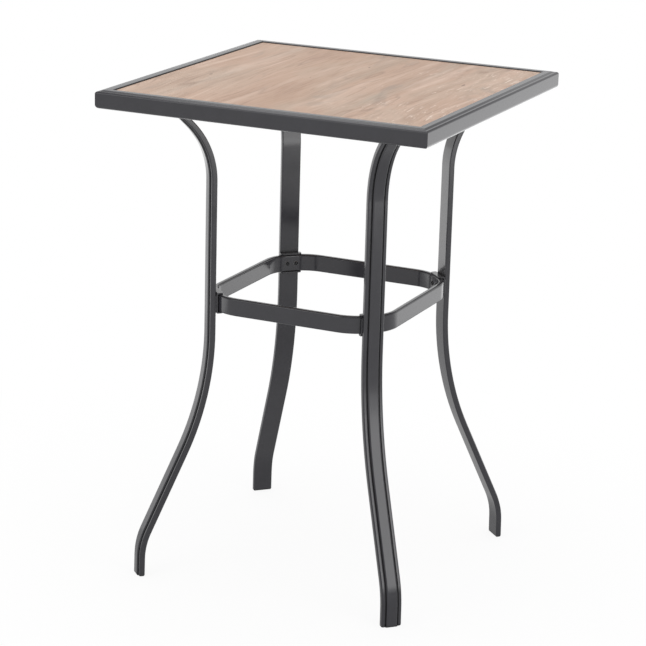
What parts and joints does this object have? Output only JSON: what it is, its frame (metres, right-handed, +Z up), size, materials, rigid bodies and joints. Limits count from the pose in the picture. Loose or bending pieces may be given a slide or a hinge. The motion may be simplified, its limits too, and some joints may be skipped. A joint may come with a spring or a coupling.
{
  "type": "bar table",
  "caption": "Square bar-height outdoor table with a framed wood-look top, S-curved metal legs and a foot ring.",
  "frame": {"origin": "on the floor under the middle of the top", "axes": "+Z up, +X towards the right rail and -Y towards the front rail; the wood grain runs along Y"},
  "size_m": [0.7, 0.7, 1.016],
  "materials": {
    "wood_look_panel": "satin printed wood grain",
    "frame_coating": "satin charcoal powder coat",
    "black_fasteners": "black oxide",
    "zinc_fasteners": "bright zinc",
    "foot_plastic": "matte black moulding",
    "pad_foam": "closed-cell foam"
  },
  "bodies": {
    "root": {"bearer_back": "frame_coating", "bearer_front": "frame_coating", "bearer_pads": "pad_foam", "foot_cap_back_left": "foot_plastic", "foot_cap_back_right": "foot_plastic", "foot_cap_front_left": "foot_plastic", "foot_cap_front_right": "foot_plastic", "foot_ring": "frame_coating", "gusset_back_left": "frame_coating", "gusset_back_right": "frame_coating", "gusset_front_left": "frame_coating", "gusset_front_right": "frame_coating", "leg_back_left": "frame_coating", "leg_back_right": "frame_coating", "leg_bolts": "black_fasteners", "leg_front_left": "frame_coating", "leg_front_right": "frame_coating", "leg_nuts": "zinc_fasteners", "rim_back": "frame_coating", "rim_front": "frame_coating", "rim_left": "frame_coating", "rim_right": "frame_coating", "ring_bracket_back_left": "frame_coating", "ring_bracket_back_right": "frame_coating", "ring_bracket_front_left": "frame_coating", "ring_bracket_front_right": "frame_coating", "ring_screws": "black_fasteners", "top_panel": "wood_look_panel"}
  },
  "joints": []
}
